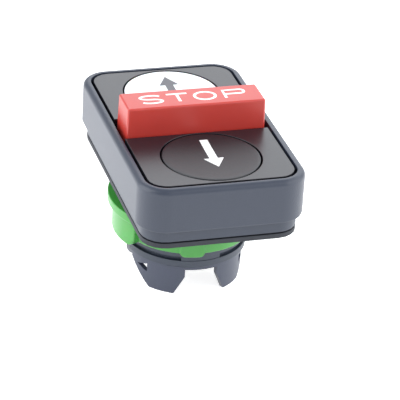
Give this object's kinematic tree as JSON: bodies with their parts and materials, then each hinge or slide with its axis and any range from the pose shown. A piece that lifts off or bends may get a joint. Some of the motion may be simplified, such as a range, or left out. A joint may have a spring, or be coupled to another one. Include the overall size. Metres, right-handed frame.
{
  "type": "double push button",
  "caption": "Control panel push button head with flush dished buttons and a projecting bar in a rectangular body, and a lock ring and hooks on the round barrel behind.",
  "frame": {"origin": "middle of the round panel hole that the head is fitted in, on the panel's front face, where the gasket rests", "axes": "+Z out of the panel towards the operator, +Y along the long side of the face towards the upper flush button, +X along the stop bar to the right"},
  "size_m": [0.03, 0.0486, 0.0344],
  "materials": {
    "bezel_grey": "fine moulded grain, dark blue grey",
    "face_black": "satin moulded, black",
    "housing_black": "moulded, black",
    "seal_rubber": "matt",
    "lock_green": "moulded, bright green",
    "hook_grey": "moulded, grey",
    "natural_white": "moulded, natural white",
    "cap_black": "satin moulded, black",
    "cap_white": "satin moulded, white",
    "stop_red": "satin moulded, red",
    "spring_steel": "drawn wire, bright"
  },
  "bodies": {
    "housing": {"bezel_frame": "bezel_grey", "upper_face_plate": "face_black", "lower_face_plate": "face_black", "base_housing": "housing_black", "panel_gasket": "seal_rubber", "bayonet_collar": "hook_grey", "rod_guide": "natural_white", "stem_seal": "seal_rubber", "down_spring": "spring_steel", "down_spring_seat": "spring_steel", "up_spring": "spring_steel", "up_spring_seat": "spring_steel", "stop_spring": "spring_steel", "stop_spring_seat": "spring_steel"},
    "down_button": {"down_cap": "cap_black", "down_carrier": "natural_white", "down_foot": "natural_white"},
    "up_button": {"up_cap": "cap_white", "up_carrier": "natural_white", "up_foot": "natural_white"},
    "stop_button": {"stop_bar": "stop_red", "stop_carrier": "natural_white", "stop_foot": "natural_white"},
    "lock": {"lock_ring": "lock_green"}
  },
  "joints": [
    {"name": "down_button_press", "type": "slide", "parent": "housing", "child": "down_button", "axis": [0, 0, -1], "range_m": [0, 0.0035], "stiffness_N_per_m": 900, "springref_m": -0.003, "deforming": ["down_spring"]},
    {"name": "up_button_press", "type": "slide", "parent": "housing", "child": "up_button", "axis": [0, 0, -1], "range_m": [0, 0.0035], "stiffness_N_per_m": 900, "springref_m": -0.003, "deforming": ["up_spring"]},
    {"name": "stop_bar_press", "type": "slide", "parent": "housing", "child": "stop_button", "axis": [0, 0, -1], "range_m": [0, 0.0035], "stiffness_N_per_m": 900, "springref_m": -0.003, "deforming": ["stop_spring"]},
    {"name": "lock_ring_turn", "type": "hinge", "parent": "housing", "child": "lock", "pos_m": [0, 0, -0.005], "axis": [0, 0, 1], "range_deg": [0, 40]}
  ]
}
